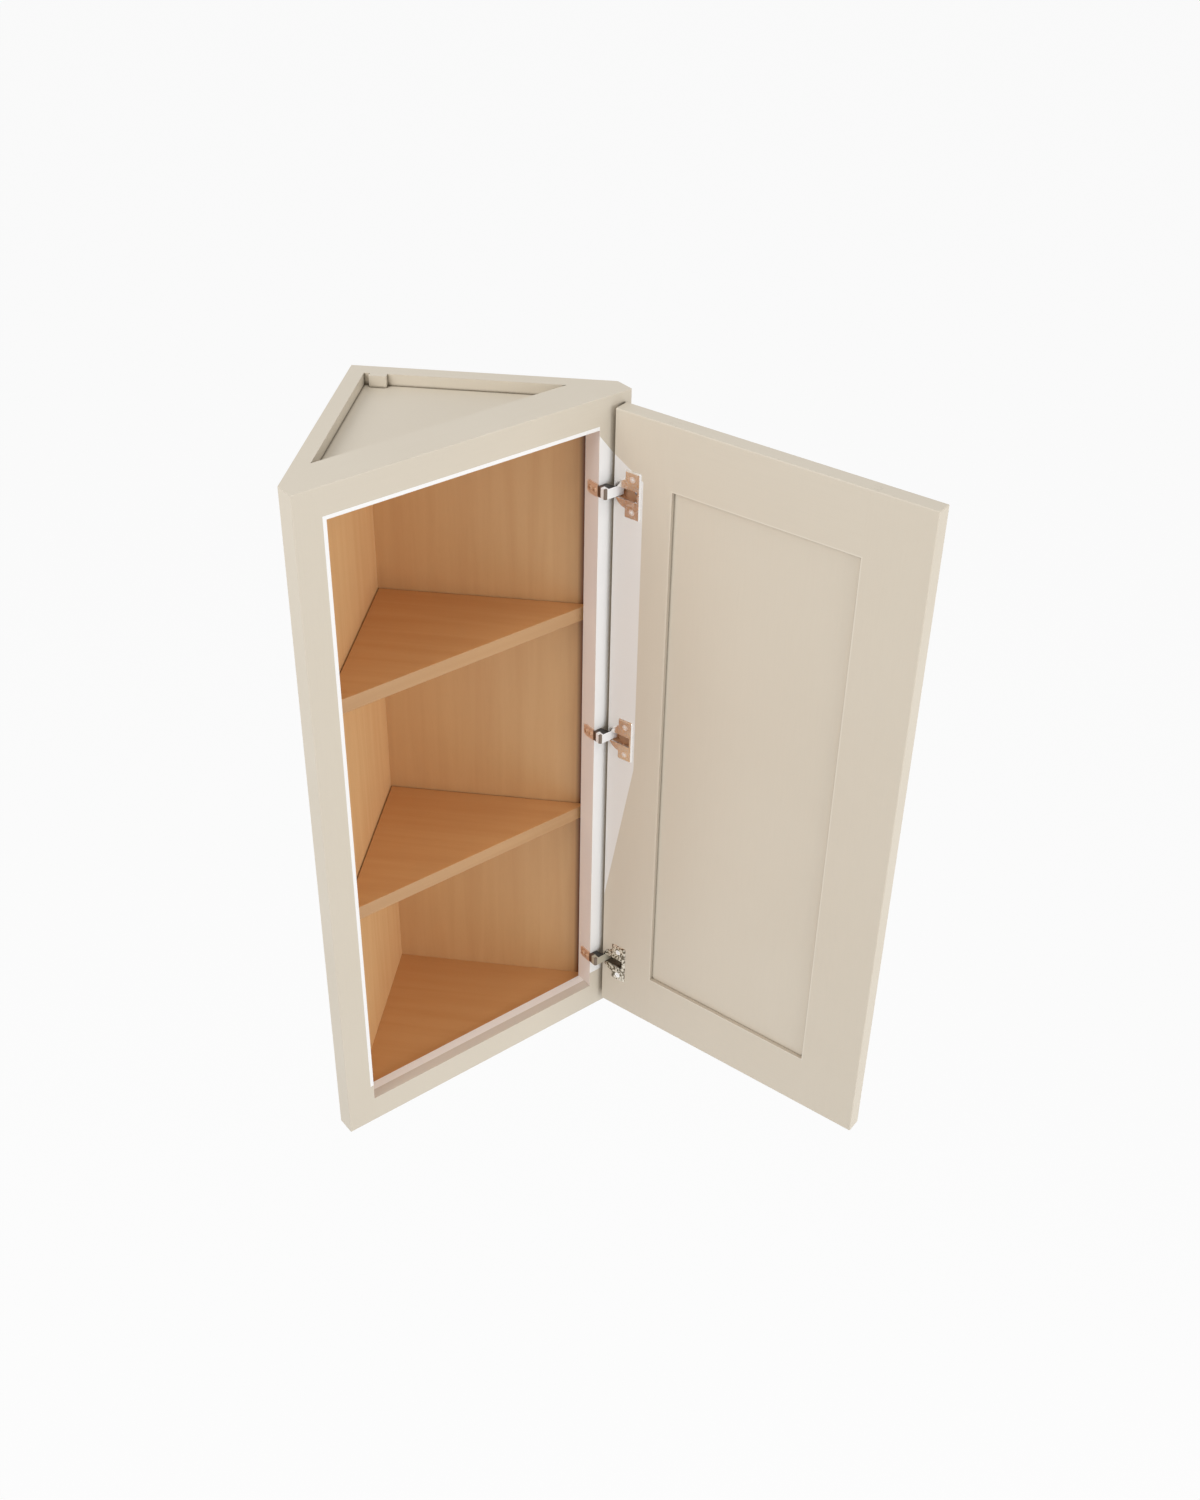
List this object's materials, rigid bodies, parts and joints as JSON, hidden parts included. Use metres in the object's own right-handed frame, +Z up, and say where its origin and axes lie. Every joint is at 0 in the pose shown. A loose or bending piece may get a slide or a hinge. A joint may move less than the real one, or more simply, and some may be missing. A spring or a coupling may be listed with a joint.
{
  "type": "angled wall end cabinet",
  "caption": "Triangular kitchen wall cabinet for the end of a run, with an angled face frame, a recessed-panel door on concealed hinges and loose shelves.",
  "frame": {"origin": "back left bottom corner of the box, on the face that goes against the wall", "axes": "+Z up; +Y points into the wall, so the room is towards -Y; +X runs along the wall, away from the neighbouring cabinet, whose side is the plane X = 0"},
  "size_m": [0.6611, 0.3223, 0.9144],
  "materials": {
    "painted_wood": "satin paint",
    "veneered_board": "satin",
    "dowel_wood": "matte",
    "hinge_nickel": "polished",
    "spring_steel": "satin",
    "screw_steel": "polished",
    "support_steel": "satin"
  },
  "bodies": {
    "cabinet": {"side_panel": "veneered_board", "back_panel": "veneered_board", "bottom_panel": "veneered_board", "top_panel": "painted_wood", "top_nailer": "painted_wood", "corner_block": "painted_wood", "box_dowels": "dowel_wood", "frame_left_stile": "painted_wood", "frame_right_stile": "painted_wood", "frame_bottom_rail": "painted_wood", "frame_top_rail": "painted_wood", "frame_dowels": "dowel_wood", "lower_shelf_supports": "support_steel", "upper_shelf_supports": "support_steel", "bottom_hinge_arm": "hinge_nickel", "middle_hinge_arm": "hinge_nickel", "top_hinge_arm": "hinge_nickel", "hinge_frame_screws": "screw_steel"},
    "door": {"door_hinge_stile": "painted_wood", "door_free_stile": "painted_wood", "door_bottom_rail": "painted_wood", "door_top_rail": "painted_wood", "door_centre_panel": "painted_wood", "bottom_hinge_cup": "hinge_nickel", "bottom_hinge_pin": "hinge_nickel", "bottom_hinge_spring": "spring_steel", "middle_hinge_cup": "hinge_nickel", "middle_hinge_pin": "hinge_nickel", "middle_hinge_spring": "spring_steel", "top_hinge_cup": "hinge_nickel", "top_hinge_pin": "hinge_nickel", "top_hinge_spring": "spring_steel", "hinge_door_screws": "screw_steel"},
    "shelf_lower": {"lower_shelf": "veneered_board"},
    "shelf_upper": {"upper_shelf": "veneered_board"}
  },
  "joints": [
    {"name": "door_swing", "type": "hinge", "parent": "cabinet", "child": "door", "pos_m": [0.31661, -0.03924, 0.4572], "axis": [0, 0, -1], "range_deg": [0, 105.5]},
    {"name": "lower_shelf_lift", "type": "slide", "parent": "cabinet", "child": "shelf_lower", "axis": [0, 0, 1], "range_m": [0, 0.02]},
    {"name": "upper_shelf_lift", "type": "slide", "parent": "cabinet", "child": "shelf_upper", "axis": [0, 0, 1], "range_m": [0, 0.02]}
  ]
}
